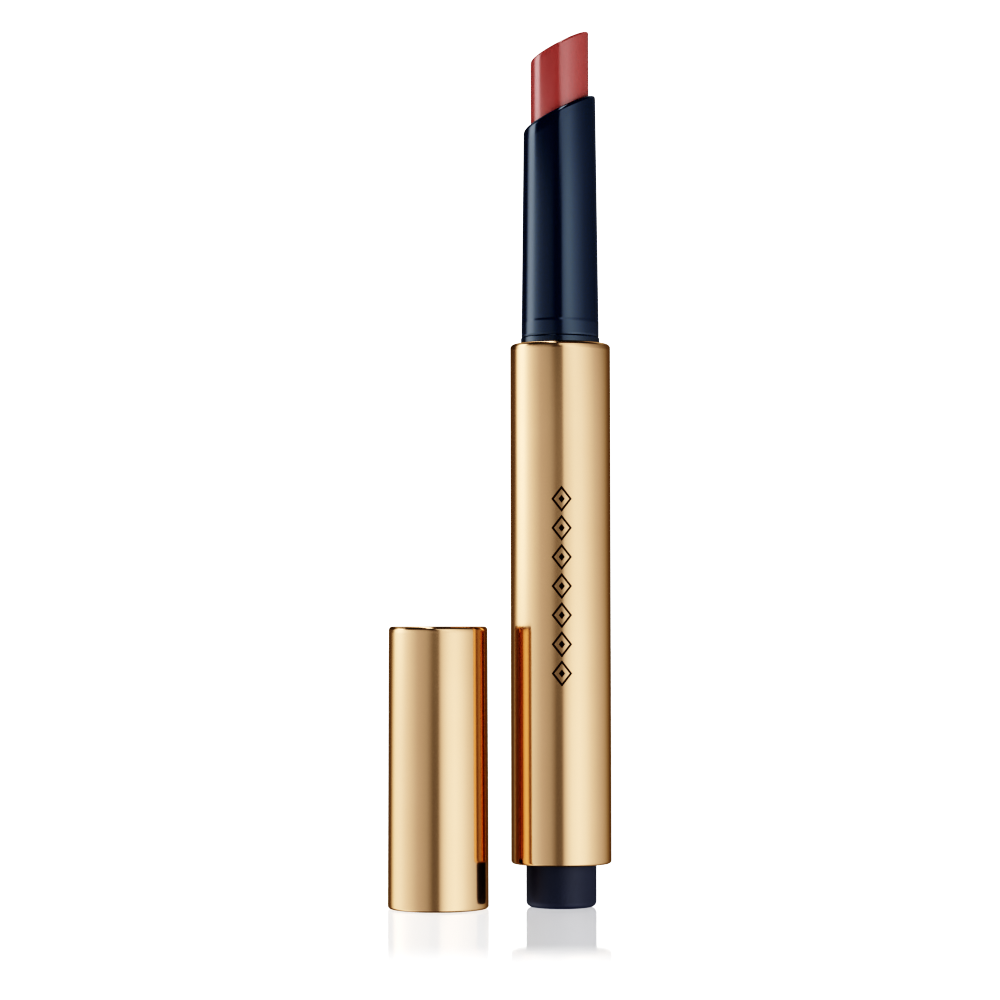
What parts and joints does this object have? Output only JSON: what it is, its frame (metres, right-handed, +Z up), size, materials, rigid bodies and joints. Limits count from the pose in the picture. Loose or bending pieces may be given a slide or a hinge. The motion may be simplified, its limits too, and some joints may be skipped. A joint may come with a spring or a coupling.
{
  "type": "lipstick case",
  "caption": "Slim click-up lipstick pen: straight gold case, slanted dark sleeve and slanted lipstick, push button at the foot, and a gold cap standing beside it.",
  "frame": {"origin": "middle of the button's flat foot, on the pen's axis, at floor level", "axes": "+Z up the pen's axis from the foot to the lipstick; +X towards the high side of the slanted mouth; the cap stands on the -X side"},
  "size_m": [0.0311, 0.0164, 0.1226],
  "materials": {
    "gold_metal": "polished champagne-gold anodised aluminium",
    "dark_gloss_plastic": "glossy midnight blue",
    "dark_satin_plastic": "satin midnight blue",
    "natural_plastic": "natural acetal",
    "white_plastic": "white moulded plastic",
    "spring_steel": "drawn spring wire",
    "rubber_ring": "soft black rubber",
    "lipstick_wax": "satin rose-red wax"
  },
  "bodies": {
    "case": {"case_shell": "gold_metal", "inner_barrel": "dark_gloss_plastic", "end_collar": "dark_satin_plastic", "nozzle_sleeve": "dark_gloss_plastic", "sleeve_o_ring": "rubber_ring", "rod_nut": "natural_plastic", "upper_cam_ring": "natural_plastic", "lower_cam_ring": "natural_plastic", "return_spring": "spring_steel"},
    "button": {"button_cap": "dark_satin_plastic", "button_pusher": "natural_plastic"},
    "rotor": {"cam_rotor": "white_plastic", "spring_washer": "white_plastic"},
    "carrier": {"bullet_cup": "white_plastic", "cup_o_ring": "rubber_ring", "lipstick_bullet": "lipstick_wax"},
    "rod": {"threaded_rod": "white_plastic"},
    "cap": {"cap_shell": "gold_metal", "cap_liner": "dark_gloss_plastic"}
  },
  "joints": [
    {"name": "button_press", "type": "slide", "parent": "case", "child": "button", "axis": [0, 0, 1], "range_m": [0, 0.0018], "stiffness_N_per_m": 800, "springref_m": -0.004, "deforming": ["return_spring"]},
    {"name": "bullet_advance", "type": "slide", "parent": "case", "child": "carrier", "axis": [0, 0, 1], "range_m": [-0.0095, 0.018]},
    {"name": "rod_turn", "type": "hinge", "parent": "carrier", "child": "rod", "pos_m": [0, 0, 0.05], "axis": [0, 0, 1], "range_deg": [-855, 1620]},
    {"name": "rotor_turn", "type": "hinge", "parent": "button", "child": "rotor", "pos_m": [0, 0, 0.02], "axis": [0, 0, 1], "range_deg": [-855, 1620]},
    {"name": "cap_lift", "type": "slide", "parent": "case", "child": "cap", "axis": [0, 0, 1], "range_m": [0, 0.13]}
  ],
  "couplings": [
    {"joint": "rod_turn", "follows": "bullet_advance", "rad_per_m": 1570.8},
    {"joint": "rotor_turn", "follows": "bullet_advance", "rad_per_m": 1570.8}
  ]
}
